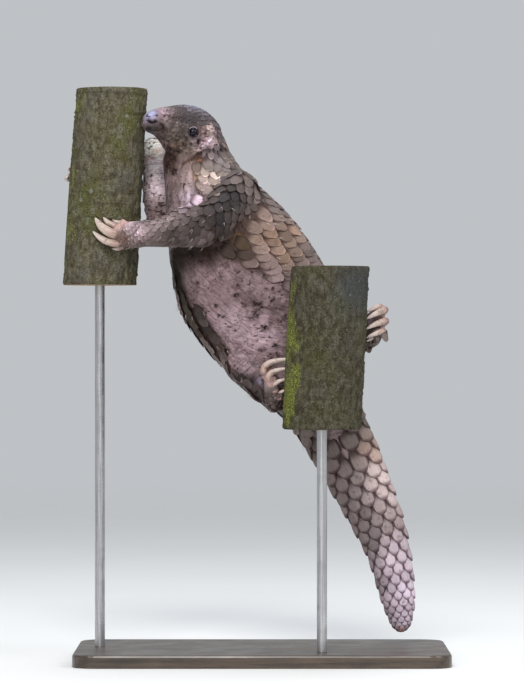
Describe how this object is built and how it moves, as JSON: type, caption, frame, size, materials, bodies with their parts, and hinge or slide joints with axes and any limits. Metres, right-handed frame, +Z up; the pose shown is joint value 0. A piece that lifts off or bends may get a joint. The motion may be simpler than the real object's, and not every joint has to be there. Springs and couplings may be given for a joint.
{
  "type": "pangolin model",
  "caption": "Life-size model of a pangolin climbing between two cut stems, held up by a flat base and rods.",
  "frame": {"origin": "centre of the underside of the stand's base", "axes": "+Z up, +X to the viewer's right towards the tail, +Y away from the viewer, who sees the belly; the head looks towards -X"},
  "size_m": [0.5393, 0.2802, 0.8],
  "materials": {
    "scales": "horny scales, dull satin",
    "skin": "bare wrinkled skin, matt",
    "claw": "horn, satin",
    "eye": "wet black",
    "bark": "rough grey-green bark with lichen",
    "stand": "dark stained, satin lacquer",
    "rod": "brushed"
  },
  "bodies": {
    "root": {"arm_left_fore": "scales", "arm_left_upper": "scales", "arm_right_fore": "scales", "arm_right_upper": "scales", "claw_foot_left_1": "claw", "claw_foot_left_2": "claw", "claw_foot_left_3": "claw", "claw_foot_left_4": "claw", "claw_foot_left_5": "claw", "claw_foot_right_1": "claw", "claw_foot_right_2": "claw", "claw_foot_right_3": "claw", "claw_foot_right_4": "claw", "claw_foot_right_5": "claw", "claw_hand_left_1": "claw", "claw_hand_left_2": "claw", "claw_hand_left_3": "claw", "claw_hand_left_4": "claw", "claw_hand_left_5": "claw", "claw_hand_right_1": "claw", "claw_hand_right_2": "claw", "claw_hand_right_3": "claw", "claw_hand_right_4": "claw", "claw_hand_right_5": "claw", "ear_left": "skin", "ear_right": "skin", "eye_left": "eye", "eye_right": "eye", "foot_left": "scales", "foot_right": "scales", "hand_left": "scales", "hand_right": "scales", "head": "skin", "leg_left_shin": "scales", "leg_left_thigh": "scales", "leg_right_shin": "scales", "leg_right_thigh": "scales", "neck": "scales", "perch_fore": "bark", "perch_hind": "bark", "stand_base": "stand", "stand_rod_fore": "rod", "stand_rod_hind": "rod", "tail_base": "scales", "tail_middle": "scales", "tail_tip": "scales", "trunk": "scales"}
  },
  "joints": []
}
